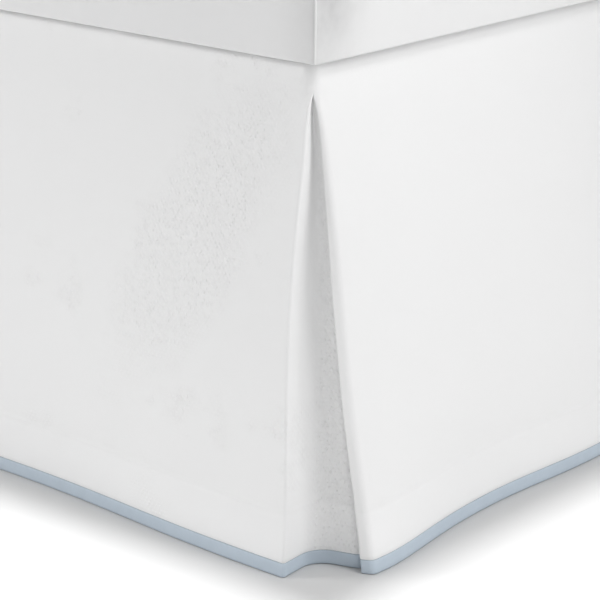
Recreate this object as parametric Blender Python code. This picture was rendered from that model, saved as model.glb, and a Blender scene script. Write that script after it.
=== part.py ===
"""A tailored bed skirt with inverted corner pleats and a tape trim, on a plain bed.

The bed's foot faces -Y and its head, which the skirt leaves open, faces +Y. The skirt is a deck sheet
between base and mattress, with three drops that hang from it: foot, left and right. At each foot corner
the foot drop folds back into the pleat, curves round behind the side drop's fold and is seamed to the
return of that fold, out of sight. The two folds meet at the top of the pleat and part towards the hem.
"""

import math

import bmesh
import bpy
from mathutils import Matrix, Vector

# Bed, in metres: a queen mattress on a base that it overhangs a little
MATTRESS_WIDTH = 1.524
MATTRESS_LENGTH = 2.032
MATTRESS_HEIGHT = 0.254
MATTRESS_CORNER_RADIUS = 0.014
MATTRESS_EDGE_RADIUS = 0.006
OVERHANG_SIDE = 0.017
OVERHANG_END = 0.011
BASE_HEIGHT = 0.200
BASE_CORNER_RADIUS = 0.080
BASE_EDGE_RADIUS = 0.008
LEG_WIDTH = 0.050
LEG_FOOT_WIDTH = 0.036
LEG_INSET = 0.062
LEG_ROWS = 3

# Skirt
HEM_ABOVE_FLOOR = 0.0015
DROP = 0.381
CLOTH = 0.0012
DECK_CORNER_RADIUS = 0.004
HEM_HEIGHT = 0.0381
HEM_FOLD_STEP = 0.0010
TAPE_WIDTH = 0.0100
TAPE_INNER = 0.0010
TAPE_OUTER = 0.0005
GAP = 0.0003

# Levels
DECK_TOP = HEM_ABOVE_FLOOR + DROP
DECK_BOTTOM = DECK_TOP - CLOTH
DROP_TOP = DECK_BOTTOM - GAP
BASE_TOP = DECK_BOTTOM - GAP
BASE_BOTTOM = BASE_TOP - BASE_HEIGHT
TAPE_TOP = HEM_ABOVE_FLOOR + TAPE_WIDTH
DROP_BOTTOM = TAPE_TOP + GAP
HEM_LINE = DROP_BOTTOM + HEM_HEIGHT

HALF_WIDTH = MATTRESS_WIDTH / 2 - OVERHANG_SIDE
HALF_LENGTH = MATTRESS_LENGTH / 2 - OVERHANG_END

# How far the middle of the cloth stands out from the base: at the top, and at the hem with its waves
SIDE_TOP_OUT = 0.0070
SIDE_HEM_OUT = 0.0243
SIDE_FLARE = 0.0128
SIDE_FLARE_FADE = 0.070
SIDE_WAVE = 0.0023
SIDE_WAVE_PITCH = 0.230
SIDE_WAVE_CREST = 0.091
LEFT_WAVE_SHIFT = 0.090
FOOT_TOP_OUT = 0.0026
FOOT_HEM_OUT = 0.0118
FOOT_WAVE = 0.0044
FOOT_WAVE_PITCH = 0.470
FOOT_WAVE_START = 0.055

# The pleat, in a corner's own plan: a runs outwards across the side, b from the foot towards the head,
# both from the base's corner. It opens from OPEN_BELOW down, and shape values are (at the top, at the hem).
OPEN_BELOW = 0.3625
FOOT_FOLD_A = (0.0054, -0.0100)
FOOT_FOLD_REACH = 0.66
FOOT_FOLD_SETBACK = 0.0030
VALLEY_A = (0.0022, -0.0130)
VALLEY_B = (0.0030, 0.0386)
VALLEY_SETBACK = (0.0040, 0.0260)
SIDE_FOLD_B = (0.0005, 0.0210)
SIDE_FOLD_HEM_KICK = 0.0111
SIDE_FOLD_WIDTH = (0.0016, 0.0110)
SIDE_FOLD_SLANT = 40.0
SEAM_END_A = (0.0005, 0.0270)
SEAM_END_B = (0.0290, 0.0620)
SEAM_REACH = (0.0050, 0.0066)
SEAM_SETBACK = (0.0030, 0.0080)
SEAM_GAP = (0.0009, 0.0018)

# Heights of the cloth's cross-sections, closer together where the pleat's folds part
DROP_LEVELS = (
    DROP_TOP, OPEN_BELOW, 0.346, 0.321, 0.286, 0.236, 0.176, 0.116,
    HEM_LINE + HEM_FOLD_STEP, HEM_LINE, 0.032, DROP_BOTTOM,
)
TAPE_LEVELS = (TAPE_TOP, HEM_ABOVE_FLOOR)
SIDE_RUN_STEPS = 50
FOOT_RUN_STEPS = 32


def between(pair, share):
    return pair[0] + (pair[1] - pair[0]) * share


def opening_share(z):
    """0 where the pleat is closed, 1 at the hem."""
    return min(max((OPEN_BELOW - z) / (OPEN_BELOW - HEM_ABOVE_FLOOR), 0.0), 1.0)


def hanging_share(z):
    return (DROP_TOP - z) / (DROP_TOP - HEM_ABOVE_FLOOR)


def side_out(b, z, shift):
    """The side drop's distance from the base, b behind the foot corner."""
    flare = SIDE_FLARE * math.exp(-(max(b - 0.035, 0.0) / SIDE_FLARE_FADE) ** 2)
    wave = SIDE_WAVE * math.cos(2 * math.pi * (b + shift - SIDE_WAVE_CREST) / SIDE_WAVE_PITCH)
    return between((SIDE_TOP_OUT, SIDE_HEM_OUT + flare + wave), hanging_share(z))


def foot_out(x, z):
    """The foot drop's distance from the base, at x across the bed."""
    wave = FOOT_WAVE * math.cos(2 * math.pi * (HALF_WIDTH - FOOT_WAVE_START - x) / FOOT_WAVE_PITCH)
    return between((FOOT_TOP_OUT, FOOT_HEM_OUT + wave), hanging_share(z))


def rounded(points, setbacks, steps):
    """The points of a path whose inner corners are rounded by arcs that start a setback before each one."""
    legs = [(q - p).length for p, q in zip(points, points[1:])]
    held = [0.0, *setbacks, 0.0]
    for i, leg in enumerate(legs):
        crowding = (held[i] + held[i + 1]) / (0.9 * leg)
        if crowding > 1:
            held[i] /= crowding
            held[i + 1] /= crowding
    path = [points[0]]
    for i in range(1, len(points) - 1):
        before = (points[i] - points[i - 1]).normalized()
        after = (points[i + 1] - points[i]).normalized()
        start = points[i] - before * held[i]
        turn = math.atan2(before.x * after.y - before.y * after.x, before.dot(after))
        for k in range(steps[i - 1] + 1):
            share = k / steps[i - 1]
            if abs(turn) < 1e-3:
                path.append(start + (before + after) * held[i] * share)
                continue
            radius = held[i] / math.tan(turn / 2)
            across = Vector((-before.y, before.x)) * radius
            angle = turn * share
            path.append(start + across * (1 - math.cos(angle)) + before * radius * math.sin(angle))
    path.append(points[-1])
    return path


def pleat_points(z, shift, foot_edge):
    """The pleat's corner points at one height. foot_edge(a) is the foot drop's b at a."""
    q = opening_share(z)
    kick = min(max((HEM_LINE - z) / (HEM_LINE - HEM_ABOVE_FLOOR), 0.0), 1.0)
    kick = kick * kick * (3 - 2 * kick)
    swing = 1 - (1 - min(q / FOOT_FOLD_REACH, 1.0)) ** 2
    foot_fold_a = between(FOOT_FOLD_A, swing)
    foot_fold = Vector((foot_fold_a, foot_edge(foot_fold_a)))
    valley = Vector((between(VALLEY_A, swing), between(VALLEY_B, q**0.8)))
    side_b = between(SIDE_FOLD_B, q**0.55) + SIDE_FOLD_HEM_KICK * kick
    side_fold = Vector((side_out(side_b, z, shift), side_b))
    slant = math.radians(SIDE_FOLD_SLANT) * (1 - q) ** 3
    fold_width = between(SIDE_FOLD_WIDTH, q**0.7)
    return_fold = side_fold - fold_width * Vector((math.cos(slant), math.sin(slant)))
    seam_end = Vector((between(SEAM_END_A, q), between(SEAM_END_B, q)))
    along = (seam_end - return_fold).normalized()
    apart = CLOTH + between(SEAM_GAP, min(q / 0.9, 1.0) ** 2)
    aside = Vector((-along.y, along.x)) * apart
    seam_turn = return_fold + along * between(SEAM_REACH, q) + aside
    return foot_fold, valley, seam_turn, seam_end + aside, seam_end, return_fold, side_fold, fold_width


def side_plan(z, shift):
    """The right side drop at one height, from its hidden seam round the fold and along to the head."""
    *_, seam_end, return_fold, side_fold, fold_width = pleat_points(z, shift, lambda a: 0.0)
    run_start = side_fold.y + 0.6 * fold_width
    ahead = Vector((side_out(run_start, z, shift), run_start))
    fold = rounded([seam_end, return_fold, side_fold, ahead], [0.45 * fold_width, 0.45 * fold_width], [5, 5])
    run = []
    for i in range(1, SIDE_RUN_STEPS + 1):
        b = run_start + (2 * HALF_LENGTH - run_start) * i / SIDE_RUN_STEPS
        run.append(Vector((side_out(b, z, shift), b)))
    return fold + run


def foot_corner_plan(z, mirror):
    """A foot corner of the foot drop at one height, from the front of the fold to the hidden seam."""
    def foot_edge(a):
        return -foot_out(mirror * (HALF_WIDTH + a), z)

    shift = 0.0 if mirror > 0 else LEFT_WAVE_SHIFT
    foot_fold, valley, seam_turn, end, *_ = pleat_points(z, shift, foot_edge)
    q = opening_share(z)
    front_a = foot_fold.x - 0.012
    front = Vector((front_a, foot_edge(front_a)))
    setbacks = [FOOT_FOLD_SETBACK, between(VALLEY_SETBACK, q), between(SEAM_SETBACK, q)]
    return rounded([front, foot_fold, valley, seam_turn, end], setbacks, [6, 8, 4])


def right_side_path(z):
    return [Vector((HALF_WIDTH + p.x, p.y - HALF_LENGTH)) for p in side_plan(z, 0.0)]


def left_side_path(z):
    """Runs from the head to the seam, so that the outer face stays on the path's right."""
    plan = side_plan(z, LEFT_WAVE_SHIFT)
    return [Vector((-HALF_WIDTH - p.x, p.y - HALF_LENGTH)) for p in reversed(plan)]


def foot_path(z):
    right = [Vector((HALF_WIDTH + p.x, p.y - HALF_LENGTH)) for p in foot_corner_plan(z, 1)]
    left = [Vector((-HALF_WIDTH - p.x, p.y - HALF_LENGTH)) for p in foot_corner_plan(z, -1)]
    left.reverse()
    run = []
    for i in range(1, FOOT_RUN_STEPS):
        x = between((left[-1].x, right[0].x), i / FOOT_RUN_STEPS)
        run.append(Vector((x, -HALF_LENGTH - foot_out(x, z))))
    return left + run + right


def outward(path):
    """The direction to each point's right, which is the outer face's side."""
    directions = []
    for i in range(len(path)):
        step = path[min(i + 1, len(path) - 1)] - path[max(i - 1, 0)]
        directions.append(Vector((step.y, -step.x)).normalized())
    return directions


def hanging_sheet(name, path_at, levels, inner_at, outer_at, material):
    """A closed sheet round the path of each level, inner_at and outer_at metres to either side of it."""
    mesh = bmesh.new()
    inner_rows = []
    outer_rows = []
    for z in levels:
        path = path_at(z)
        sides = outward(path)
        inner_rows.append([mesh.verts.new((*(p + n * inner_at(z)), z)) for p, n in zip(path, sides)])
        outer_rows.append([mesh.verts.new((*(p + n * outer_at(z)), z)) for p, n in zip(path, sides)])
    last = len(inner_rows[0]) - 1
    for i in range(len(levels) - 1):
        for j in range(last):
            for rows in (inner_rows, outer_rows):
                mesh.faces.new((rows[i][j], rows[i][j + 1], rows[i + 1][j + 1], rows[i + 1][j]))
        for j in (0, last):
            mesh.faces.new((inner_rows[i][j], inner_rows[i + 1][j], outer_rows[i + 1][j], outer_rows[i][j]))
    for i in (0, len(levels) - 1):
        for j in range(last):
            mesh.faces.new((inner_rows[i][j], inner_rows[i][j + 1], outer_rows[i][j + 1], outer_rows[i][j]))
    bmesh.ops.recalc_face_normals(mesh, faces=mesh.faces)
    return finish(name, mesh, material)


def drop(name, path_at, material):
    """One drop of the skirt: a single thickness that its turned-up hem doubles on the inner side."""
    def inner(z):
        return -CLOTH / 2 - (CLOTH if z <= HEM_LINE else 0.0)

    return hanging_sheet(name, path_at, DROP_LEVELS, inner, lambda z: CLOTH / 2, material)


def tape(name, path_at, material):
    """The folded tape that is sewn edge to edge along the bottom of a drop."""
    return hanging_sheet(name, path_at, TAPE_LEVELS, lambda z: -TAPE_INNER, lambda z: TAPE_OUTER, material)


def box(name, low, high, corner_radius, edge_radius, material, corner_steps=6):
    """A block with rounded upright corners, and softened rims above and below."""
    mesh = bmesh.new()
    bmesh.ops.create_cube(mesh, size=1.0)
    size = Vector(high) - Vector(low)
    centre = (Vector(high) + Vector(low)) / 2
    bmesh.ops.scale(mesh, vec=size, verts=mesh.verts)
    bmesh.ops.translate(mesh, vec=centre, verts=mesh.verts)
    upright = [edge for edge in mesh.edges if abs(edge.verts[0].co.z - edge.verts[1].co.z) > size.z / 2]
    bmesh.ops.bevel(
        mesh, geom=upright, offset=corner_radius, segments=corner_steps, affect="EDGES", profile=0.5,
    )
    if edge_radius:
        rims = [edge for edge in mesh.edges if abs(edge.verts[0].co.z - edge.verts[1].co.z) < 1e-6]
        bmesh.ops.bevel(mesh, geom=rims, offset=edge_radius, segments=3, affect="EDGES", profile=0.5)
    return finish(name, mesh, material)


def leg(name, x, y, material):
    """A square leg that tapers to the floor."""
    mesh = bmesh.new()
    bmesh.ops.create_cone(
        mesh, cap_ends=True, segments=4, radius1=LEG_FOOT_WIDTH / math.sqrt(2),
        radius2=LEG_WIDTH / math.sqrt(2), depth=BASE_BOTTOM - GAP,
    )
    bmesh.ops.rotate(mesh, verts=mesh.verts, matrix=Matrix.Rotation(math.radians(45), 3, "Z"))
    bmesh.ops.translate(mesh, vec=(x, y, (BASE_BOTTOM - GAP) / 2), verts=mesh.verts)
    return finish(name, mesh, material)


def finish(name, mesh, material):
    data = bpy.data.meshes.new(name)
    mesh.to_mesh(data)
    mesh.free()
    data.materials.append(material)
    data.shade_smooth()
    data.set_sharp_from_angle(angle=math.radians(35))
    obj = bpy.data.objects.new(name, data)
    bpy.context.scene.collection.objects.link(obj)
    return obj


def paint(name, colour, roughness):
    material = bpy.data.materials.new(name)
    material.use_nodes = True
    shader = material.node_tree.nodes["Principled BSDF"]
    shader.inputs["Base Color"].default_value = (*colour, 1.0)
    shader.inputs["Roughness"].default_value = roughness
    shader.inputs["Metallic"].default_value = 0.0
    return material


def build_bed():
    cover = paint("mattress_cover", (0.83, 0.83, 0.83), 0.85)
    base_cloth = paint("base_cloth", (0.70, 0.69, 0.67), 0.90)
    wood = paint("leg_wood", (0.42, 0.29, 0.18), 0.55)
    half_wide, half_long = MATTRESS_WIDTH / 2, MATTRESS_LENGTH / 2
    mattress_bottom = DECK_TOP + GAP
    box(
        "mattress", (-half_wide, -half_long, mattress_bottom),
        (half_wide, half_long, mattress_bottom + MATTRESS_HEIGHT),
        MATTRESS_CORNER_RADIUS, MATTRESS_EDGE_RADIUS, cover,
    )
    box(
        "bed_base", (-HALF_WIDTH, -HALF_LENGTH, BASE_BOTTOM), (HALF_WIDTH, HALF_LENGTH, BASE_TOP),
        BASE_CORNER_RADIUS, BASE_EDGE_RADIUS, base_cloth, 8,
    )
    leg_x = HALF_WIDTH - LEG_INSET
    for side, x in (("left", -leg_x), ("right", leg_x)):
        for row in range(LEG_ROWS):
            y = between((LEG_INSET - HALF_LENGTH, HALF_LENGTH - LEG_INSET), row / (LEG_ROWS - 1))
            leg(f"leg_{side}_{row + 1}", x, y, wood)


def build_skirt():
    pique = paint("white_pique", (0.86, 0.86, 0.87), 0.90)
    blue = paint("blue_tape", (0.40, 0.50, 0.60), 0.80)
    deck_x = HALF_WIDTH + SIDE_TOP_OUT + CLOTH / 2
    deck_y = HALF_LENGTH + FOOT_TOP_OUT + CLOTH / 2
    box(
        "skirt_deck", (-deck_x, -deck_y, DECK_BOTTOM), (deck_x, HALF_LENGTH, DECK_TOP),
        DECK_CORNER_RADIUS, 0.0, pique, 4,
    )
    for side, path_at in (("foot", foot_path), ("left", left_side_path), ("right", right_side_path)):
        drop(f"skirt_drop_{side}", path_at, pique)
        tape(f"trim_tape_{side}", path_at, blue)


def centre_on_footprint():
    """Puts the middle of the whole footprint at the origin, in the meshes themselves."""
    bpy.context.view_layer.update()
    solids = [obj for obj in bpy.context.scene.objects if obj.type == "MESH"]
    corners = [Vector(corner) for obj in solids for corner in obj.bound_box]
    middle = Vector([(min(c[k] for c in corners) + max(c[k] for c in corners)) / 2 for k in (0, 1)])
    for obj in solids:
        for vertex in obj.data.vertices:
            vertex.co.xy -= middle


def main():
    for obj in list(bpy.data.objects):
        bpy.data.objects.remove(obj, do_unlink=True)
    build_bed()
    build_skirt()
    centre_on_footprint()


main()
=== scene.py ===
import math

import bpy
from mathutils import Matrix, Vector, noise


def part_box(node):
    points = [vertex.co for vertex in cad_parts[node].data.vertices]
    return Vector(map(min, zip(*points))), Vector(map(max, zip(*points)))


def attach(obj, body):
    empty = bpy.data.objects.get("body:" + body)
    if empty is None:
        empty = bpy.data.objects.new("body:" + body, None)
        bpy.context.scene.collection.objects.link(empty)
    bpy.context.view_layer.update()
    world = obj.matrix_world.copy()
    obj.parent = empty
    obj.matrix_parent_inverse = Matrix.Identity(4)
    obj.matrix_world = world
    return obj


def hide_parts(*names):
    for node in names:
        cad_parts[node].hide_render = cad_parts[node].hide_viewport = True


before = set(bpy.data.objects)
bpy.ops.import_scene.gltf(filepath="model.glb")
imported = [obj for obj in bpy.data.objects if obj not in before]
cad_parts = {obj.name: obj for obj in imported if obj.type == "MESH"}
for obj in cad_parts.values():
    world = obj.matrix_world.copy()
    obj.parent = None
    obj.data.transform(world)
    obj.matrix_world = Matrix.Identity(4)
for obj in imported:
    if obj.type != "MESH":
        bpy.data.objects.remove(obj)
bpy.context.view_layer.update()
baseLow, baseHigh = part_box("bed_base")
deckLow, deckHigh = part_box("skirt_deck")
mattressLow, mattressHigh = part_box("mattress")
tapeLow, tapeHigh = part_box("trim_tape_foot")
dropLow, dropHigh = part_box("skirt_drop_foot")
print("frame loaded,", len(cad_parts), "nodes")


def between(pair, share):
    return pair[0] + (pair[1] - pair[0]) * share


def clamp01(value):
    return min(max(value, 0.0), 1.0)


def ease(value):
    value = clamp01(value)
    return value * value * (3 - 2 * value)


def bell(distance, width):
    return math.exp(-((distance / width) ** 2))


def deselectAll():
    if bpy.context.object and bpy.context.object.mode != "OBJECT":
        bpy.ops.object.mode_set(mode="OBJECT")
    bpy.ops.object.select_all(action="DESELECT")


def applyModifier(obj, kind, **settings):
    modifier = obj.modifiers.new(kind.title(), kind)
    for setting, value in settings.items():
        setattr(modifier, setting, value)
    deselectAll()
    obj.select_set(True)
    bpy.context.view_layer.objects.active = obj
    bpy.ops.object.modifier_apply(modifier=modifier.name)


def smoothed(obj, angle=40.0):
    deselectAll()
    obj.select_set(True)
    bpy.context.view_layer.objects.active = obj
    bpy.ops.object.shade_smooth_by_angle(angle=math.radians(angle))


def dress(obj, finish, slot, *nodes):
    # gives a finished piece its material and its body, and hides the CAD nodes that it stands for
    obj.data.materials.clear()
    obj.data.materials.append(finish)
    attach(obj, "root")
    if nodes:
        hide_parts(*nodes)


class Value:
    # a socket of a finish; sums and products of it add Math nodes
    def __init__(self, finish, socket):
        self.finish = finish
        self.socket = socket

    def op(self, operation, *others):
        return self.finish.node("Math", {"operation": operation}, dict(enumerate((self, *others))))

    def flipped(self, operation, other):
        return self.finish.node("Math", {"operation": operation}, {0: other, 1: self})

    def __add__(self, other):
        return self.op("ADD", other)

    def __radd__(self, other):
        return self.flipped("ADD", other)

    def __sub__(self, other):
        return self.op("SUBTRACT", other)

    def __rsub__(self, other):
        return self.flipped("SUBTRACT", other)

    def __mul__(self, other):
        return self.op("MULTIPLY", other)

    def __rmul__(self, other):
        return self.flipped("MULTIPLY", other)

    def __truediv__(self, other):
        return self.op("DIVIDE", other)

    def cos(self):
        return self.op("COSINE")

    def above(self, low, high):
        # 0 below low, 1 over high, smooth between
        settings = {"interpolation_type": "SMOOTHSTEP"}
        return self.finish.node("MapRange", settings, {0: self, 1: low, 2: high, 3: 0.0, 4: 1.0})


class Finish:
    # a material with its Principled shader, and one method that adds any other node
    def __init__(self, name, **constants):
        self.material = bpy.data.materials.new(name)
        self.material.use_nodes = True
        self.tree = self.material.node_tree
        self.shader = self.tree.nodes["Principled BSDF"]
        for socket, value in constants.items():
            self.shader.inputs[socket.replace("_", " ")].default_value = value

    def feed(self, socket, value):
        if isinstance(value, Value):
            self.tree.links.new(value.socket, socket)
        else:
            socket.default_value = value

    def node(self, kind, settings=None, values=None, output=0):
        made = self.tree.nodes.new("ShaderNode" + kind)
        for setting, value in (settings or {}).items():
            setattr(made, setting, value)
        for key, value in (values or {}).items():
            self.feed(made.inputs[key], value)
        return Value(self, made.outputs[output])

    def split(self, vector):
        parts = self.node("SeparateXYZ", None, {0: vector})
        return [Value(self, parts.socket.node.outputs[k]) for k in range(3)]

    def uv(self):
        return self.node("TexCoord", None, None, "UV")

    def place(self):
        return self.node("TexCoord", None, None, "Object")

    def noise(self, vector, scale, detail=3.0, roughness=0.5):
        values = {"Vector": vector, "Scale": scale, "Detail": detail, "Roughness": roughness}
        return self.node("TexNoise", None, values)

    def mix(self, share, first, second):
        first, second = [c if isinstance(c, Value) else (*c, 1.0) for c in (first, second)]
        return self.node("Mix", {"data_type": "RGBA"}, {0: share, 6: first, 7: second}, 2)

    def bump(self, height, distance, strength=1.0, under=None):
        values = {"Height": height, "Distance": distance, "Strength": strength}
        if under:
            values["Normal"] = under
        return self.node("Bump", None, values)

    def wear(self, colour=None, roughness=None, normal=None):
        for socket, value in (("Base Color", colour), ("Roughness", roughness), ("Normal", normal)):
            if value is not None:
                self.feed(self.shader.inputs[socket], value)
        return self.material


clothLook = {
    "white": (0.850, 0.850, 0.850),
    "shaded": (0.826, 0.826, 0.827),      # painted shade between the raised cells
    "plyHemPaintedLight": (0.868, 0.868, 0.868),    # lighter where the turned-up hem lies behind, and painted light on top
    "lowerHemPaintedLight": (0.908, 0.908, 0.908),     # and more painted light at its lower edge, near the floor
    "cellWide": 0.0041,                   # a cell and its neighbours stand in staggered rows
    "cellTall": 0.0060,
    "cellHeight": 0.00036,
    "threadPitch": 0.00052,
    "threadHeight": 0.00004,
    "patchScale": 14.0,                   # how large the areas are where the weave shows more
    "patchAt": (0.642, 0.240),            # the largest of them, near each foot corner: across and up
    "patchReach": (0.150, 0.048),         # its half length and half width
    "patchLean": (0.53, 0.85),            # its long way: across and up
    "pleatFrom": (0.757, 0.770),          # past this far across, the foot drop's cloth is in the pleat
    "sideFrom": (3.0, 3.1),               # the side drops' cloth is counted from sideDropAt on
    "hemLine": tapeHigh.z + 0.0384,
}


def makeClothFinish():
    finish = Finish(
        "whitePique", Roughness=0.88, Sheen_Weight=0.12, Sheen_Roughness=0.5, Specular_IOR_Level=0.25,
    )
    across, up, _ = finish.split(finish.uv())
    waveAcross = (across * (2 * math.pi / clothLook["cellWide"])).cos()
    waveUp = (up * (2 * math.pi / clothLook["cellTall"])).cos()
    cells = (waveAcross * waveUp).above(0.15, 0.85)
    warp = (across * (2 * math.pi / clothLook["threadPitch"])).cos()
    weft = (up * (2 * math.pi / clothLook["threadPitch"])).cos()
    cloud = finish.noise(finish.uv(), clothLook["patchScale"], 3.0, 0.6)
    slub = finish.noise(finish.uv(), 160.0, 2.0)
    worn = finish.noise(finish.uv(), 190.0, 2.0).above(0.42, 0.62)
    fromMiddle = across.op("ABSOLUTE")
    toSide = fromMiddle - clothLook["patchAt"][0]
    toTop = up - clothLook["patchAt"][1]
    reach, width = clothLook["patchReach"]
    leanAcross, leanUp = clothLook["patchLean"]
    lengthwise = (toSide * leanAcross + toTop * leanUp) / reach
    crosswise = (toSide * leanUp - toTop * leanAcross) / width
    patch = 1 - (lengthwise * lengthwise + crosswise * crosswise + cloud * 2 - 1).above(0.2, 1.5)
    inPleat = fromMiddle.above(*clothLook["pleatFrom"])
    onSide = fromMiddle.above(*clothLook["sideFrom"])
    shows = (patch + inPleat + cloud.above(0.56, 0.70)).op("MINIMUM", 1.0)
    depth = (0.05 + shows * 0.95 * (1 - onSide * 0.95)) * (0.4 + worn * 0.6)
    # painted shade between the raised cells, deeper where the weave shows more
    colour = finish.mix(cells * depth + (1 - depth), clothLook["shaded"], clothLook["white"])
    # below the hem line: the second ply plus painted light, brighter towards the lower edge
    hem = 1 - up.above(clothLook["hemLine"] - 0.002, clothLook["hemLine"] + 0.001)
    hemLightShare = up.above(tapeHigh.z, clothLook["hemLine"])
    hemPaintedTone = finish.mix(hemLightShare, clothLook["lowerHemPaintedLight"], clothLook["plyHemPaintedLight"])
    colour = finish.mix(hem, colour, hemPaintedTone)
    fine = finish.bump(warp * weft + slub * 0.6, clothLook["threadHeight"], 0.7)
    normal = finish.bump(cells * depth, clothLook["cellHeight"], 1.0, fine)
    return finish.wear(colour, 0.84 + slub * 0.10, normal)


tapeLook = {
    "light": (0.590, 0.673, 0.757),
    "dark": (0.540, 0.623, 0.706),
    "edge": (0.300, 0.350, 0.405),       # painted shade in the stitched groove along the top
    "grooveShadeWidth": (0.0004, 0.0013),
    "ribPitch": 0.00085,
    "ribHeight": 0.00010,
}


def makeTapeFinish():
    finish = Finish(
        "blueTape", Roughness=0.78, Sheen_Weight=0.15, Sheen_Roughness=0.45, Specular_IOR_Level=0.3,
    )
    across, up, _ = finish.split(finish.uv())
    ribs = (across * (2 * math.pi / tapeLook["ribPitch"])).cos()
    wefts = (up * (2 * math.pi / (tapeLook["ribPitch"] * 0.6))).cos()
    tone = finish.noise(finish.uv(), 90.0, 3.0).above(0.25, 0.75)
    colour = finish.mix(tone * 0.5 + ribs.above(-0.6, 0.9) * 0.5, tapeLook["dark"], tapeLook["light"])
    # painted shade in the stitched groove along the tape's top
    colour = finish.mix(up.above(*tapeLook["grooveShadeWidth"]), tapeLook["edge"], colour)
    normal = finish.bump(ribs + wefts * 0.3, tapeLook["ribHeight"], 0.6)
    return finish.wear(colour, 0.72 + tone * 0.12, normal)


coverLook = {
    "white": (0.798, 0.798, 0.798),
    "shaded": (0.782, 0.782, 0.784),
    "paintedSeamShade": (0.500, 0.500, 0.502),     # painted shade beside the foot corners' seams
    "threadPitch": 0.00045,
    "threadHeight": 0.00003,
}


def makeCoverFinish():
    finish = Finish(
        "mattressCover", Roughness=0.8, Sheen_Weight=0.1, Sheen_Roughness=0.5, Specular_IOR_Level=0.3,
    )
    x, y, z = finish.split(finish.place())
    thread = 2 * math.pi / coverLook["threadPitch"]
    weave = ((x + z) * thread).cos() * ((y + z) * thread).cos()
    cloud = finish.noise(finish.place(), 7.0, 3.0).above(0.3, 0.7)
    crumple = finish.noise(finish.place(), 38.0, 4.0)
    colour = finish.mix(cloud, coverLook["shaded"], coverLook["white"])
    seamShadeShare = finish.node("Attribute", {"attribute_name": "paintedSeamShade"}, None, 2)
    ragged = finish.noise(finish.place(), 95.0, 3.0).above(0.2, 0.75)
    # painted shade beside the foot corners' seams, with ragged edges
    colour = finish.mix(seamShadeShare * (0.86 + ragged * 0.28), colour, coverLook["paintedSeamShade"])
    soft = finish.bump(crumple, 0.0008, 0.35)
    normal = finish.bump(weave, coverLook["threadHeight"], 0.6, soft)
    return finish.wear(colour, 0.76 + cloud * 0.08, normal)


baseLook = {
    "light": (0.72, 0.71, 0.69),
    "dark": (0.60, 0.59, 0.57),
    "threadPitch": 0.0016,
    "threadHeight": 0.00012,
}


def makeBaseFinish():
    finish = Finish("baseCloth", Roughness=0.9, Specular_IOR_Level=0.2)
    x, y, z = finish.split(finish.place())
    thread = 2 * math.pi / baseLook["threadPitch"]
    weave = ((x + y) * thread).cos() * (z * thread).cos()
    fleck = finish.noise(finish.place(), 420.0, 2.0).above(0.35, 0.7)
    colour = finish.mix(fleck * 0.6 + weave.above(-0.5, 0.8) * 0.4, baseLook["dark"], baseLook["light"])
    return finish.wear(colour, 0.86 + fleck * 0.08, finish.bump(weave, baseLook["threadHeight"], 0.8))


woodLook = {
    "light": (0.50, 0.36, 0.235),
    "dark": (0.33, 0.215, 0.125),
    "grainStretch": (9.0, 9.0, 0.7),
    "poreStretch": (900.0, 900.0, 30.0),
    "poreDepth": 0.0001,
}


def makeWoodFinish():
    finish = Finish("legWood", Roughness=0.5, Coat_Weight=0.15, Coat_Roughness=0.3)
    place = finish.place()
    stretched = finish.node("Mapping", None, {"Vector": place, "Scale": woodLook["grainStretch"]})
    warp = finish.noise(stretched, 3.0, 3.0)
    x, y, _ = finish.split(stretched)
    rings = ((x + y * 0.6 + warp * 2.4) * 16.0).cos().above(-0.9, 0.9)
    alongGrain = finish.node("Mapping", None, {"Vector": place, "Scale": woodLook["poreStretch"]})
    pores = finish.noise(alongGrain, 1.0, 2.0)
    colour = finish.mix(rings * 0.7 + pores.above(0.4, 0.7) * 0.3, woodLook["dark"], woodLook["light"])
    relief = finish.bump(pores + rings * 0.4, woodLook["poreDepth"], 0.5)
    return finish.wear(colour, 0.42 + pores * 0.16, relief)


pique = makeClothFinish()
blueTape = makeTapeFinish()
cover = makeCoverFinish()
baseCloth = makeBaseFinish()
legWood = makeWoodFinish()
print("finishes made")


cameraSet = {
    "besideCorner": 1.0142,      # from the base's foot corner, along X
    "beforeFoot": 1.1672,        # and against Y
    "height": 0.70075,
    "turn": 41.168,
    "pitch": 17.556,
    "lens": 138.0,
    "sensor": 36.0,
}


def setCamera():
    data = bpy.data.cameras.new("camera")
    data.lens = cameraSet["lens"]
    data.sensor_width = cameraSet["sensor"]
    data.clip_start = 0.05
    data.clip_end = 60.0
    camera = bpy.data.objects.new("camera", data)
    bpy.context.scene.collection.objects.link(camera)
    corner = Vector((baseHigh.x, baseLow.y))
    camera.location = (
        corner.x + cameraSet["besideCorner"], corner.y - cameraSet["beforeFoot"], cameraSet["height"],
    )
    camera.rotation_euler = (math.radians(90 - cameraSet["pitch"]), 0.0, math.radians(cameraSet["turn"]))
    bpy.context.scene.camera = camera


lightSet = {
    "world": 0.487,
    "floorWide": 24.0,
    "floorAlbedo": 0.64,
    "topPlace": (0.570, -0.860, 3.4),    # over the bed's corner, so that the hem shades the floor
    "topSize": 0.28,
    "topPower": 92.6,
    "leftPlace": (-1.94, -3.37, 1.97),   # far to the left, so that the foot drop shades the pleat
    "leftAim": (0.6, -1.0, 0.2),
    "leftSize": 1.2,
    "leftPower": 51.0,
}
# lights to the right, level with the pleat: place, aim, radius, cone, power
sideLights = {
    "side": ((1.39, -0.93, 0.80), (0.775, -0.985, 0.08), 0.12, 110.0, 5.65),
    "low": ((2.05, -0.42, 0.12), (0.775, -0.985, 0.10), 0.16, 80.0, 9.4),
    "high": ((1.30, -1.02, 1.15), (0.76, -0.95, 0.20), 0.14, 90.0, 9.4),
}


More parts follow.
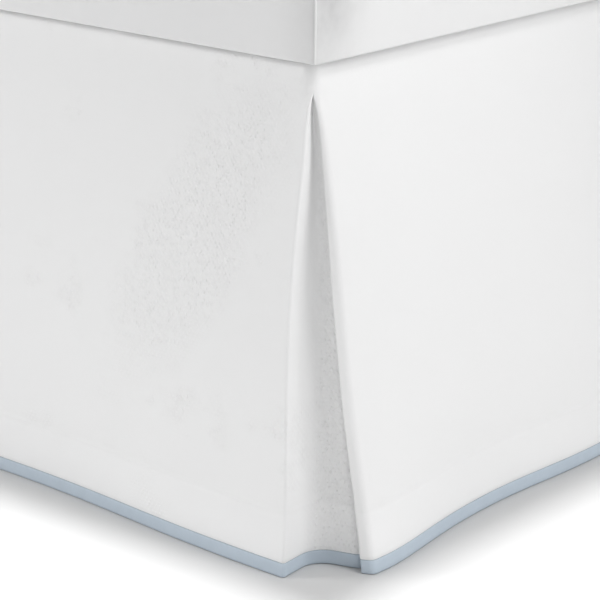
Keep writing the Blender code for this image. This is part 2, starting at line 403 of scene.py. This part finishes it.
def addLight(name, kind, place, aim, power, **settings):
    data = bpy.data.lights.new(name, kind)
    data.energy = power
    for setting, value in settings.items():
        setattr(data, setting, value)
    light = bpy.data.objects.new(name, data)
    light.location = place
    light.rotation_euler = (Vector(aim) - Vector(place)).to_track_quat("-Z", "Y").to_euler()
    bpy.context.scene.collection.objects.link(light)


def setStage():
    bpy.context.scene.view_settings.view_transform = "Standard"
    world = bpy.data.worlds.new("studio")
    bpy.context.scene.world = world
    world.use_nodes = True
    sky = world.node_tree.nodes["Background"]
    sky.inputs["Color"].default_value = (1.0, 1.0, 1.0, 1.0)
    sky.inputs["Strength"].default_value = lightSet["world"]
    deselectAll()
    bpy.ops.mesh.primitive_plane_add(size=lightSet["floorWide"], location=(0, 0, 0))
    floor = bpy.context.object
    floor.name = "floor"
    paper = Finish("floorPaper", Roughness=0.95, Specular_IOR_Level=0.0)
    paper.shader.inputs["Base Color"].default_value = (*[lightSet["floorAlbedo"]] * 3, 1.0)
    floor.data.materials.append(paper.material)
    place = lightSet["topPlace"]
    below = (place[0], place[1], 0.0)
    addLight(
        "topLight", "AREA", place, below, lightSet["topPower"],
        shape="DISK", size=lightSet["topSize"],
    )
    addLight(
        "leftLight", "AREA", lightSet["leftPlace"], lightSet["leftAim"], lightSet["leftPower"],
        shape="DISK", size=lightSet["leftSize"],
    )
    for name, (place, aim, radius, cone, power) in sideLights.items():
        addLight(
            name + "Light", "SPOT", place, aim, power,
            shadow_soft_size=radius, spot_size=math.radians(cone), spot_blend=1.0,
        )


setCamera()
setStage()
print("camera and lights set")


# a runs outwards across the side, b from the foot towards the head, both from a foot corner of the base.
# Pairs are (at the top, at the hem).
skirt = {
    "hemAboveFloor": tapeLow.z,
    "sideTopOut": 0.0070,
    "sideHemOut": 0.0243,
    "sideFlare": 0.0128,
    "sideFlareFrom": 0.035,
    "sideFlareFade": 0.070,
    "sideWave": 0.0023,
    "sideWavePitch": 0.230,
    "sideWaveCrest": 0.091,
    "leftWaveShift": 0.090,
    "footTopOut": 0.0026,
    "footHemOut": 0.0118,
    "footWave": 0.0044,
    "footWavePitch": 0.470,
    "footWaveStart": 0.055,
    "runSteps": 170,             # points along the foot and along a side
    "cloth": 0.0011,
    "ripple": 0.0005,            # soft unevenness of the hanging cloth
    "hemHeight": 0.0381,
    "hemRidge": 0.0006,
    "hemRidgeWidth": 0.0020,
    "hemPlyGap": 0.0002,
    "sideRim": (0.0120, 0.0050),  # how far down the cloth starts to turn in over the base, and how far in
    "footRim": (0.0050, 0.0036),
    "cornerRim": (0.0080, 0.0030),
    "rimBlend": 0.025,            # over which one rim passes into the next
    "pressedAt": (-0.183, -0.043),      # where the mattress presses on the foot's rim: it turns in less
    "pressedWidth": 0.012,
}
pleat = {
    "openBelow": 0.3625,
    "partingHeight": 0.0066,     # over which the closed corner becomes two folds
    "wrapRadius": 0.009,
    "wrapOverlap": 0.0012,
    "frontA": -0.030,            # where the foot's even run ends and the corner's own plan starts
    "shoulderBefore": 0.012,     # from the shoulder to the foot fold
    "shoulderSetback": 0.0020,
    "footFoldSetback": 0.0019,
    "closedFoldSetback": 0.0009,
    "valleyAside": 0.0034,
    "sideFoldSlant": (24.0, 27.0),
    "creaseSetback": (0.0030, 0.0036),
    "foldSetback": 0.0012,
    "runAfter": 0.016,           # from the side fold to the side's even run
    "seamEndA": (0.0005, 0.0270),
    "seamEndB": (0.0290, 0.0620),
    "seamReach": (0.0014, 0.0066),
    "seamSetback": (0.0030, 0.0080),
    "plyApart": 0.0012,
    "seamGap": (0.0009, 0.0018),
}
# how the pleat opens, in mm: share of the way down, foot fold's a, valley's b, valley's setback,
# side fold's b, facing's width
pleatRows = [
    (0.00, 5.4, 0.8, 4.0, 0.5, 1.6),
    (0.06, 3.1, 7.0, 5.0, 5.0, 3.2),
    (0.15, 0.6, 12.2, 8.0, 9.0, 5.0),
    (0.30, -5.2, 18.4, 12.0, 13.3, 6.8),
    (0.40, -7.8, 20.2, 14.0, 14.8, 7.0),
    (0.50, -9.2, 20.8, 18.0, 16.6, 7.2),
    (0.64, -9.4, 21.1, 21.0, 19.5, 7.3),
    (0.80, -8.7, 21.8, 21.0, 25.8, 8.2),
    (0.90, -8.5, 22.3, 19.0, 29.7, 8.7),
    (1.00, -9.4, 22.9, 16.0, 33.0, 9.7),
]
halfWidth = (baseHigh.x - baseLow.x) / 2
bedLength = baseHigh.y - baseLow.y
middleX = (baseHigh.x + baseLow.x) / 2
dropTop = dropHigh.z
dropBottom = dropLow.z
hemLine = dropBottom + skirt["hemHeight"]
sideDropAt = 4.0                 # where the side drops' cloth is counted from, clear of the foot drop's


def openingShare(z):
    return clamp01((pleat["openBelow"] - z) / (pleat["openBelow"] - skirt["hemAboveFloor"]))


def alongRows(rows, share):
    # the values at one share, on smooth curves through the rows
    i = max(k for k in range(len(rows) - 1) if rows[k][0] <= share)
    before, start, end, after = rows[max(i - 1, 0)], rows[i], rows[i + 1], rows[min(i + 2, len(rows) - 1)]
    step = end[0] - start[0]
    t = (share - start[0]) / step
    values = []
    for k in range(1, len(start)):
        leave = (end[k] - before[k]) / (end[0] - before[0]) * step
        arrive = (after[k] - start[k]) / (after[0] - start[0]) * step
        values.append(
            start[k] * (1 + 2 * t) * (1 - t) ** 2 + leave * t * (1 - t) ** 2
            + end[k] * t * t * (3 - 2 * t) + arrive * t * t * (t - 1)
        )
    return values


def hangingShare(z):
    return (dropTop - z) / (dropTop - skirt["hemAboveFloor"])


def sideOut(b, z, shift):
    flare = skirt["sideFlare"] * bell(max(b - skirt["sideFlareFrom"], 0.0), skirt["sideFlareFade"])
    angle = 2 * math.pi * (b + shift - skirt["sideWaveCrest"]) / skirt["sideWavePitch"]
    wave = skirt["sideWave"] * math.cos(angle)
    return between((skirt["sideTopOut"], skirt["sideHemOut"] + flare + wave), hangingShare(z))


def footOut(x, z):
    angle = 2 * math.pi * (halfWidth - skirt["footWaveStart"] - x) / skirt["footWavePitch"]
    wave = skirt["footWave"] * math.cos(angle)
    return between((skirt["footTopOut"], skirt["footHemOut"] + wave), hangingShare(z))


def rimDepth(name, z):
    height, depth = skirt[name]
    share = clamp01(1 - (dropTop - z) / height)
    return depth * (1 - math.sqrt(1 - share * share))


def turnedIn(p, z):
    # a point of a corner's plan, moved in where the cloth turns over the base's edge
    alongSide = ease(p.y / skirt["rimBlend"])
    alongFoot = ease((-p.x - 0.004) / skirt["rimBlend"]) * (1 - alongSide)
    pressed = max(bell(p.x - place, skirt["pressedWidth"]) for place in skirt["pressedAt"])
    corner = rimDepth("cornerRim", z) * (1 - alongSide - alongFoot) * Vector((-0.7, 0.7))
    side = -rimDepth("sideRim", z) * alongSide
    foot = rimDepth("footRim", z) * alongFoot * (1 - 0.7 * pressed)
    return p + corner + Vector((side, foot))


def rounded(points, setbacks, arcSteps, legSteps):
    # evenly cut legs, with each inner corner rounded by an arc that starts its setback before it
    legs = [(q - p).length for p, q in zip(points, points[1:])]
    held = [0.0, *setbacks, 0.0]
    for i, leg in enumerate(legs):
        crowding = (held[i] + held[i + 1]) / (0.96 * leg)
        if crowding > 1:
            held[i] /= crowding
            held[i + 1] /= crowding
    path = [points[0]]
    for i in range(1, len(points)):
        before = (points[i] - points[i - 1]).normalized()
        legStart = points[i - 1] + before * held[i - 1]
        legEnd = points[i] - before * held[i]
        path += [legStart.lerp(legEnd, k / legSteps[i - 1]) for k in range(1, legSteps[i - 1] + 1)]
        if i == len(points) - 1:
            break
        after = (points[i + 1] - points[i]).normalized()
        turn = math.atan2(before.x * after.y - before.y * after.x, before.dot(after))
        for k in range(1, arcSteps[i - 1] + 1):
            share = k / arcSteps[i - 1]
            if abs(turn) < 1e-3:
                path.append(legEnd + (before + after) * held[i] * share)
                continue
            radius = held[i] / math.tan(turn / 2)
            across = Vector((-before.y, before.x)) * radius
            angle = turn * share
            path.append(legEnd + across * (1 - math.cos(angle)) + before * radius * math.sin(angle))
    return path


def pleatPoints(z, mirror):
    # the corner points of the cloth round one pleat at one height, by name
    shift = 0.0 if mirror > 0 else skirt["leftWaveShift"]

    def footEdge(a):
        return -footOut(mirror * (halfWidth + a), z)

    q = openingShare(z)
    closed = math.exp(-max(pleat["openBelow"] - z, 0.0) / pleat["partingHeight"])
    inMetres = [value / 1000 for value in alongRows(pleatRows, q)]
    footFoldA, valleyB, valleySetback, sideB, foldWidth = inMetres
    footFold = Vector((footFoldA, footEdge(footFoldA)))
    valley = Vector((footFoldA - pleat["valleyAside"], valleyB))
    sideFold = Vector((sideOut(sideB, z, shift), sideB))
    slant = math.radians(between(pleat["sideFoldSlant"], 1 - (1 - q) ** 3))
    returnFold = sideFold - foldWidth * Vector((math.cos(slant), math.sin(slant)))
    seamEnd = Vector((between(pleat["seamEndA"], q), between(pleat["seamEndB"], q)))
    along = (seamEnd - returnFold).normalized()
    apart = pleat["plyApart"] + between(pleat["seamGap"], min(q / 0.9, 1.0) ** 2)
    aside = Vector((-along.y, along.x)) * apart
    seamTurn = returnFold + along * between(pleat["seamReach"], min(q / 0.2, 1.0)) + aside

    # where the pleat is closed, both drops wrap the corner in one curve and meet halfway round it
    radius = pleat["wrapRadius"]
    corner = Vector((sideOut(0.0, z, shift), footEdge(0.0)))
    slit = corner + radius * Vector((math.sqrt(0.5) - 1, 1 - math.sqrt(0.5)))
    tangent = Vector((math.sqrt(0.5), math.sqrt(0.5)))
    shoulderReach = radius * math.tan(math.radians(22.5))
    footShoulder = slit - tangent * shoulderReach
    sideShoulder = slit + tangent * shoulderReach
    footTip = slit + tangent * pleat["wrapOverlap"]
    sideTip = slit - tangent * pleat["foldSetback"] * 0.5
    shoulderA = footFoldA - pleat["shoulderBefore"]
    openShoulder = Vector((shoulderA, footEdge(shoulderA)))
    return {
        "front": Vector((pleat["frontA"], footEdge(pleat["frontA"]))),
        "footShoulder": openShoulder.lerp(footShoulder, closed),
        "footFold": footFold.lerp(footTip, closed),
        "valley": valley,
        "seamTurn": seamTurn,
        "underEnd": seamEnd + aside,
        "seamEnd": seamEnd,
        "returnFold": returnFold.lerp(sideTip, closed),
        "sideFold": sideFold.lerp(sideShoulder, closed),
        "valleySetback": valleySetback,
        "wrapSetback": shoulderReach,
        "closed": closed,
        "q": q,
        "shift": shift,
    }


def sidePlan(z, mirror):
    # from the hidden seam round the fold, then along to the head, with each point's way along the cloth
    p = pleatPoints(z, mirror)
    runStart = p["sideFold"].y + pleat["runAfter"]
    ahead = Vector((sideOut(runStart, z, p["shift"]), runStart))
    crease = between((between(pleat["creaseSetback"], p["q"]), p["wrapSetback"]), p["closed"])
    path = rounded(
        [p["seamEnd"], p["returnFold"], p["sideFold"], ahead],
        [pleat["foldSetback"], crease], [8, 8], [8, 5, 5],
    )
    along = [0.0]
    for start, end in zip(path, path[1:]):
        along.append(along[-1] + (end - start).length)
    along = [runStart - along[-1] + s for s in along]
    steps = skirt["runSteps"]
    for i in range(1, steps + 1):
        b = between((runStart, bedLength), (i / steps) ** 1.12)
        path.append(Vector((sideOut(b, z, p["shift"]), b)))
        along.append(b)
    return [turnedIn(point, z) for point in path], along


def footCornerPlan(z, mirror):
    p = pleatPoints(z, mirror)
    shoulder = between((pleat["shoulderSetback"], p["wrapSetback"]), p["closed"])
    fold = between((pleat["footFoldSetback"], pleat["closedFoldSetback"]), p["closed"])
    setbacks = [shoulder, fold, p["valleySetback"], between(pleat["seamSetback"], p["q"])]
    points = [p[k] for k in ("front", "footShoulder", "footFold", "valley", "seamTurn", "underEnd")]
    path = rounded(points, setbacks, [8, 10, 12, 6], [4, 4, 8, 8, 5])
    along = [points[0].x + halfWidth]
    for start, end in zip(path, path[1:]):
        along.append(along[-1] + (end - start).length)
    return [turnedIn(point, z) for point in path], along


def rightRow(z):
    path, along = sidePlan(z, 1)
    return [Vector((baseHigh.x + p.x, baseLow.y + p.y)) for p in path], [s + sideDropAt for s in along]


def leftRow(z):
    # from the head to the seam, so that the outer face is on the right of the way
    path, along = sidePlan(z, -1)
    points = [Vector((baseLow.x - p.x, baseLow.y + p.y)) for p in path]
    return points[::-1], [-s - sideDropAt for s in along[::-1]]


def footRow(z):
    right, rightAlong = footCornerPlan(z, 1)
    left, leftAlong = footCornerPlan(z, -1)
    points = [Vector((baseLow.x - p.x, baseLow.y + p.y)) for p in left[::-1]]
    along = [-s for s in leftAlong[::-1]]
    steps = skirt["runSteps"]
    for i in range(1, steps):
        x = between((-leftAlong[0], rightAlong[0]), i / steps)
        p = turnedIn(Vector((abs(x) - halfWidth, -footOut(x, z))), z)
        points.append(Vector((middleX + x, baseLow.y + p.y)))
        along.append(x)
    points += [Vector((baseHigh.x + p.x, baseLow.y + p.y)) for p in right]
    return points, along + rightAlong


def outwardOf(path):
    directions = []
    for i in range(len(path)):
        step = path[min(i + 1, len(path) - 1)] - path[max(i - 1, 0)]
        directions.append(Vector((step.y, -step.x)).normalized())
    return directions


def levelsDown(stops):
    # heights from the first stop to the last, each stretch cut into its number of steps
    heights = [stops[0][0]]
    for (high, _), (low, steps) in zip(stops, stops[1:]):
        heights += [between((high, low), k / steps) for k in range(1, steps + 1)]
    return heights


def clothGrid(name, rows):
    # rows of (point, (u, v)), the lowest first, so that the faces point outwards
    deselectAll()
    columns = len(rows[0])
    bpy.ops.mesh.primitive_grid_add(x_subdivisions=columns - 1, y_subdivisions=len(rows) - 1, size=1.0)
    sheet = bpy.context.object
    sheet.name = name
    flat = [item for row in rows for item in row]
    for vertex, (point, _) in zip(sheet.data.vertices, flat):
        vertex.co = point
    layer = sheet.data.uv_layers.active
    for loop in sheet.data.loops:
        layer.data[loop.index].uv = flat[loop.vertex_index][1]
    return sheet


def hangDrop(name, rowAt, seed):
    # one drop: down the outer ply, round the bottom fold, and up the inner ply to the hem line
    cloth = skirt["cloth"]
    plyStep = cloth + skirt["hemPlyGap"]
    foldRadius = plyStep / 2
    outer = levelsDown([
        (dropTop, 0), (dropTop - 0.004, 8), (0.369, 8), (pleat["openBelow"], 3),
        (0.352, 10), (0.332, 9), (0.296, 8), (0.116, 18),
        (hemLine + 0.006, 8), (hemLine - 0.006, 14), (0.026, 6), (dropBottom + foldRadius, 5),
    ])
    steps = [(z, 0.0, z) for z in outer]
    for k in range(1, 7):
        angle = math.pi * k / 6
        z = outer[-1] - foldRadius * math.sin(angle)
        steps.append((z, foldRadius * (math.cos(angle) - 1), outer[-1] - foldRadius * angle))
    for z in levelsDown([(outer[-1], 0), (hemLine - 0.004, 5), (hemLine, 2)])[1:]:
        steps.append((z, -plyStep, outer[-1] - foldRadius * math.pi - (z - outer[-1])))
    rows = []
    for z, inset, v in reversed(steps):
        path, along = rowAt(z)
        row = []
        for p, n, u in zip(path, outwardOf(path), along):
            out = inset
            out += skirt["ripple"] * hangingShare(z) * noise.noise(Vector((u * 7, z * 5, seed)))
            if inset == 0.0:
                ridge = 0.7 + 0.5 * noise.noise(Vector((u * 70, 0.0, seed + 5)))
                out += skirt["hemRidge"] * ridge * bell(z - hemLine, skirt["hemRidgeWidth"])
                out += 0.00015 * ease((hemLine - z) / 0.004)
            row.append(((*(p + n * out), z), (u, v)))
        rows.append(row)
    sheet = clothGrid(name, rows)
    applyModifier(sheet, "SOLIDIFY", thickness=cloth, offset=0.0)
    smoothed(sheet, 60.0)
    return sheet


tape = {
    "cloth": 0.0005,
    "front": 0.00032,            # middle of the front ply, out from the middle of the drop
    "back": -0.0022,
    "tuck": 0.0009,              # how far the front ply turns in at its top,
    "tuckFrom": 0.0008,          # from this far below it
    "backAbove": 0.0045,         # the back ply reaches this far over the front one, behind the hem
    "pressed": 0.35,             # the bottom fold's height over its radius
    "sag": 0.0012,               # how far it hangs below its solid
    "uneven": 0.00025,
}


def hangTape(name, rowAt, seed):
    radius = (tape["front"] - tape["back"]) / 2
    bottom = tapeLow.z - tape["sag"] + radius * tape["pressed"] + tape["cloth"] / 2
    top = tapeHigh.z
    tuckStart = top - tape["tuckFrom"]
    profile = [(tape["back"], z) for z in (top + tape["backAbove"], top, (top + bottom) / 2)]
    for k in range(0, 9):
        angle = math.pi * k / 8
        across = tape["back"] + radius * (1 - math.cos(angle))
        profile.append((across, bottom - radius * tape["pressed"] * math.sin(angle)))
    for z in levelsDown([(bottom, 0), (tuckStart, 5)])[1:]:
        profile.append((tape["front"], z))
    for k in range(1, 5):
        angle = math.pi / 2 * k / 4
        out = tape["front"] - tape["tuck"] * (1 - math.cos(angle))
        profile.append((out, tuckStart + tape["tuck"] * math.sin(angle)))
    length = [0.0]
    for (out0, z0), (out1, z1) in zip(profile, profile[1:]):
        length.append(length[-1] + math.hypot(out1 - out0, z1 - z0))
    columns = []
    for (out, z), v in zip(profile, length):
        path, along = rowAt(min(z, dropBottom))
        row = []
        for p, n, u in zip(path, outwardOf(path), along):
            uneven = tape["uneven"] * noise.noise(Vector((u * 30, seed, 0.0)))
            uneven += skirt["ripple"] * noise.noise(Vector((u * 7, z * 5, seed)))
            row.append(((*(p + n * (out + uneven)), z), (u, length[-1] - v)))
        columns.append(row)
    strip = clothGrid(name, columns)
    applyModifier(strip, "SOLIDIFY", thickness=tape["cloth"], offset=0.0)
    smoothed(strip, 60.0)
    return strip


def cutSize(rowAt):
    # a drop's greatest width, its height with the turned hem, and its flat area
    steps = 24
    alongs = [rowAt(z)[1] for z in levelsDown([(dropTop, 0), (dropBottom, steps)])]
    widths = [along[-1] - along[0] for along in alongs]
    step = (dropTop - dropBottom) / steps
    area = sum((w0 + w1) / 2 * step for w0, w1 in zip(widths, widths[1:]))
    area += widths[-1] * skirt["hemHeight"]
    return max(widths), dropTop - dropBottom + skirt["hemHeight"], area


for side, rowAt, seed in (("foot", footRow, 1.0), ("left", leftRow, 2.0), ("right", rightRow, 3.0)):
    dropPiece = hangDrop(f"hanging_drop_{side}", rowAt, seed)
    dress(dropPiece, pique, "pique_cloth", f"skirt_drop_{side}")
    tapePiece = hangTape(f"folded_tape_{side}", rowAt, seed)
    dress(tapePiece, blueTape, "trim_tape", f"trim_tape_{side}")
    width, height, area = cutSize(rowAt)
    print("drop and tape hung:", side, round(width, 4), "by", round(height, 4))


def softBlock(name, low, high, cuts, shape):
    # a finely cut cube with its points spread towards its rims; shape(unit, spread, half) places each
    deselectAll()
    bpy.ops.mesh.primitive_cube_add(size=2.0)
    block = bpy.context.object
    block.name = name
    bpy.ops.object.mode_set(mode="EDIT")
    bpy.ops.mesh.select_all(action="SELECT")
    bpy.ops.mesh.subdivide(number_cuts=cuts, smoothness=0.0)
    bpy.ops.object.mode_set(mode="OBJECT")
    half = (high - low) / 2
    centre = (high + low) / 2
    for vertex in block.data.vertices:
        unit = vertex.co.copy()
        spread = Vector([
            half[k] * (0.12 * unit[k] + 0.88 * math.sin(math.pi / 2 * unit[k])) for k in range(3)
        ])
        vertex.co = centre + shape(unit, spread, half)
    return block


def roundedBlock(spread, half, cornerRadius, rimRadius):
    # moves a point of a box on to its rounded form: first in plan, then over the rims
    def toCircle(first, second):
        norm = math.hypot(first, second)
        return max(first, second) / norm if norm > 1e-9 else 1.0

    inner = Vector((half.x - cornerRadius, half.y - cornerRadius))
    over = Vector((max(abs(spread.x) - inner.x, 0.0), max(abs(spread.y) - inner.y, 0.0)))
    if over.x > 0 and over.y > 0:
        scale = toCircle(over.x, over.y)
        flat = Vector((inner.x + over.x * scale, inner.y + over.y * scale))
        depth = cornerRadius - over.length * scale
        outward = over.normalized()
    else:
        flat = Vector((abs(spread.x), abs(spread.y)))
        gapX, gapY = half.x - flat.x, half.y - flat.y
        depth = min(gapX, gapY)
        outward = Vector((1.0, 0.0)) if gapX < gapY else Vector((0.0, 1.0))
    below = half.z - abs(spread.z)
    if depth < rimRadius and below < rimRadius:
        lateral, upright = rimRadius - depth, rimRadius - below
        scale = toCircle(lateral, upright)
        flat -= outward * lateral * (1 - scale)
        below = rimRadius - upright * scale
    sign = Vector([math.copysign(1.0, value) for value in spread])
    place = Vector((flat.x * sign.x, flat.y * sign.y, (half.z - below) * sign.z))
    return place, Vector((outward.x * sign.x, outward.y * sign.y, 0.0)), depth


mattressSet = {
    "cuts": 79,
    "cornerRadius": 0.0035,
    "rimRadius": 0.0022,
    "topRimRadius": 0.020,
    "crown": 0.009,
    "barrel": 0.0060,
    "wrinkle": 0.0012,
    "fan": 0.0011,               # folds that fan out from the top's corners
    "waviness": 0.0011,
    "seamRadius": 0.0007,
    # where the cover is drawn in beside each foot corner's seam: along from the corner, up from the
    # bottom, half width, half height, lean, depth, and how much painted shade lies there
    "endDents": [(0.000, 0.060, 0.024, 0.200, 0.0, 0.0012, 0.30)],
    "sideDents": [
        (0.008, 0.060, 0.032, 0.065, 0.0, 0.0012, 0.72),
        (0.0195, 0.031, 0.0090, 0.018, -0.40, 0.0020, 0.14),
    ],
}


def dentAt(place, outward, half):
    # how deep the cover is drawn in beside a foot corner's seam, and its share of the painted shade
    depth = tone = 0.0
    onSide = abs(outward.x) > abs(outward.y)
    along = half.y + place.y if onSide else half.x - abs(place.x)
    up = half.z + place.z
    dents = mattressSet["sideDents" if onSide else "endDents"]
    for centre, height, wide, tall, lean, deep, dark in dents:
        if place.y < 0:
            aside = (along - centre - lean * (up - height)) / wide
            share = math.exp(-aside * aside - ((up - height) / tall) ** 2)
            depth += deep * share
            tone += dark * share
    return depth, tone


def shapeMattress(unit, spread, half):
    rim = mattressSet["topRimRadius"] if spread.z > 0 else mattressSet["rimRadius"]
    place, outward, depth = roundedBlock(spread, half, mattressSet["cornerRadius"], rim)
    side = 1 - clamp01(depth / 0.004)
    level = spread.z / half.z
    bulge = mattressSet["barrel"] * (1 - level * level) * side
    fromCorner = Vector((half.x - abs(place.x), half.y - abs(place.y))).length
    dent = dentAt(place, outward, half)[0] * side
    seed = 3.0 if abs(outward.x) > abs(outward.y) else 9.0
    rolling = noise.noise(Vector((place.x * 9, place.y * 9, place.z * 9 + seed)))
    waviness = mattressSet["waviness"] * rolling * side
    place += outward * (bulge - dent + waviness * (1 - level**4))
    if unit.z > 0.999:
        crown = (1 - (place.x / half.x) ** 2) * (1 - (place.y / half.y) ** 2)
        wrinkle = noise.noise(Vector((place.x * 6, place.y * 4, 2.0))) + 0.4 * noise.noise(place * 17)
        nearCorner = bell(fromCorner, 0.22)
        fan = math.sin(math.atan2(half.y - abs(place.y), half.x - abs(place.x)) * 22) * nearCorner
        place.z += mattressSet["crown"] * crown**0.6 + clamp01(depth / 0.05) * (
            mattressSet["wrinkle"] * wrinkle + mattressSet["fan"] * fan
        )
    return place


def cornerSeam(name, signX, signY):
    # the cover's upright corner seam: a thin ridge that follows the mattress's corner
    half = (mattressHigh - mattressLow) / 2
    centre = (mattressHigh + mattressLow) / 2
    points = []
    for k in range(33):
        level = between((-0.992, 1.0), k / 32)
        spread = Vector((half.x * signX, half.y * signY, half.z * level))
        unit = Vector((signX, signY, 0.0))
        points.append(centre + shapeMattress(unit, spread, half))
    curve = bpy.data.curves.new(name, "CURVE")
    curve.dimensions = "3D"
    curve.bevel_depth = mattressSet["seamRadius"]
    curve.bevel_resolution = 2
    curve.use_fill_caps = True
    spline = curve.splines.new("POLY")
    spline.points.add(len(points) - 1)
    for target, point in zip(spline.points, points):
        target.co = (*point, 1.0)
    seam = bpy.data.objects.new(name, curve)
    bpy.context.scene.collection.objects.link(seam)
    deselectAll()
    seam.select_set(True)
    bpy.context.view_layer.objects.active = seam
    bpy.ops.object.convert(target="MESH")
    seam = bpy.context.object
    seam.name = name
    smoothed(seam, 60.0)
    return seam


def markPaintedShade(block):
    # keeps each point's share of the painted shade, for the cover's finish
    half = (mattressHigh - mattressLow) / 2
    centre = (mattressHigh + mattressLow) / 2
    marks = block.data.attributes.new("paintedSeamShade", "FLOAT", "POINT")
    for mark, vertex in zip(marks.data, block.data.vertices):
        place = vertex.co - centre
        toSide, toEnd = half.x - abs(place.x), half.y - abs(place.y)
        outward = Vector((1.0, 0.0)) if toSide < toEnd else Vector((0.0, 1.0))
        onWall = clamp01(1 - max(min(toSide, toEnd), 0.0) / 0.03)
        mark.value = clamp01(dentAt(place, outward, half)[1]) * onWall


mattressPiece = softBlock(
    "covered_mattress", mattressLow, mattressHigh, mattressSet["cuts"], shapeMattress,
)
markPaintedShade(mattressPiece)
smoothed(mattressPiece, 50.0)
dress(mattressPiece, cover, "mattress_cover", "mattress")
for number, (signX, signY) in enumerate(((1, -1), (-1, -1), (1, 1), (-1, 1)), 1):
    seamPiece = cornerSeam(f"mattress_seam_{number}", signX, signY)
    dress(seamPiece, cover, "mattress_cover")
print("mattress covered")

baseSet = {
    "cuts": 48,
    "cornerRadius": 0.080,
    "rimRadius": 0.008,
    "sag": 0.0008,
}


def shapeBase(unit, spread, half):
    place, outward, depth = roundedBlock(spread, half, baseSet["cornerRadius"], baseSet["rimRadius"])
    side = 1 - clamp01(depth / 0.004)
    level = spread.z / half.z
    slack = baseSet["sag"] * noise.noise(place * 6) - baseSet["sag"] * 0.5
    return place + outward * slack * side * (1 - level**4)


basePiece = softBlock("clothed_base", baseLow, baseHigh, baseSet["cuts"], shapeBase)
smoothed(basePiece, 50.0)
dress(basePiece, baseCloth, "base_cloth", "bed_base")
print("base clothed")


deckSet = {
    "thickness": 0.0011,
    "cornerRadius": 0.012,
    "inset": (0.0048, 0.0034),   # at the sides and at the foot, as the drops turn in to meet it
    "columns": 60,
    "rows": 80,
}


def layDeck():
    low = Vector((deckLow.x + deckSet["inset"][0], deckLow.y + deckSet["inset"][1]))
    high = Vector((deckHigh.x - deckSet["inset"][0], deckHigh.y))
    z = (deckLow.z + deckHigh.z) / 2
    rows = []
    for j in range(deckSet["rows"] + 1):
        v = 0.5 - 0.5 * math.cos(math.pi * j / deckSet["rows"])
        row = []
        for i in range(deckSet["columns"] + 1):
            u = 0.5 - 0.5 * math.cos(math.pi * i / deckSet["columns"])
            p = Vector((between((low.x, high.x), u), between((low.y, high.y), v)))
            for cornerX, inX in ((low.x, 1), (high.x, -1)):
                # the two foot corners are rounded, as the drops wrap them
                radius = deckSet["cornerRadius"]
                centre = Vector((cornerX + inX * radius, low.y + radius))
                over = Vector(((centre.x - p.x) * inX, centre.y - p.y))
                if over.x > 0 and over.y > 0:
                    scale = max(over.x, over.y) / over.length
                    p = Vector((centre.x - over.x * scale * inX, centre.y - over.y * scale))
            row.append(((p.x, p.y, z), (p.x, p.y)))
        rows.append(row)
    sheet = clothGrid("deck_sheet", rows)
    applyModifier(sheet, "SOLIDIFY", thickness=deckSet["thickness"], offset=0.0)
    smoothed(sheet, 50.0)
    return sheet


deckPiece = layDeck()
dress(deckPiece, pique, "pique_cloth", "skirt_deck")
print("deck laid")


legSet = {
    "bevel": 0.0025,
    "footShare": 0.72,
}


def turnLeg(node):
    low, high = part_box(node)
    width = high.x - low.x
    deselectAll()
    bpy.ops.mesh.primitive_cube_add(size=1.0)
    leg = bpy.context.object
    leg.name = node.replace("leg", "wood_leg")
    for vertex in leg.data.vertices:
        share = 1.0 if vertex.co.z > 0 else legSet["footShare"]
        vertex.co = Vector((
            (low.x + high.x) / 2 + vertex.co.x * width * share,
            (low.y + high.y) / 2 + vertex.co.y * width * share,
            high.z if vertex.co.z > 0 else low.z,
        ))
    applyModifier(leg, "BEVEL", width=legSet["bevel"], segments=3, limit_method="ANGLE")
    smoothed(leg, 35.0)
    dress(leg, legWood, "leg_wood", node)


for node in sorted(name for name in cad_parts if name.startswith("leg_")):
    turnLeg(node)
print("legs made")
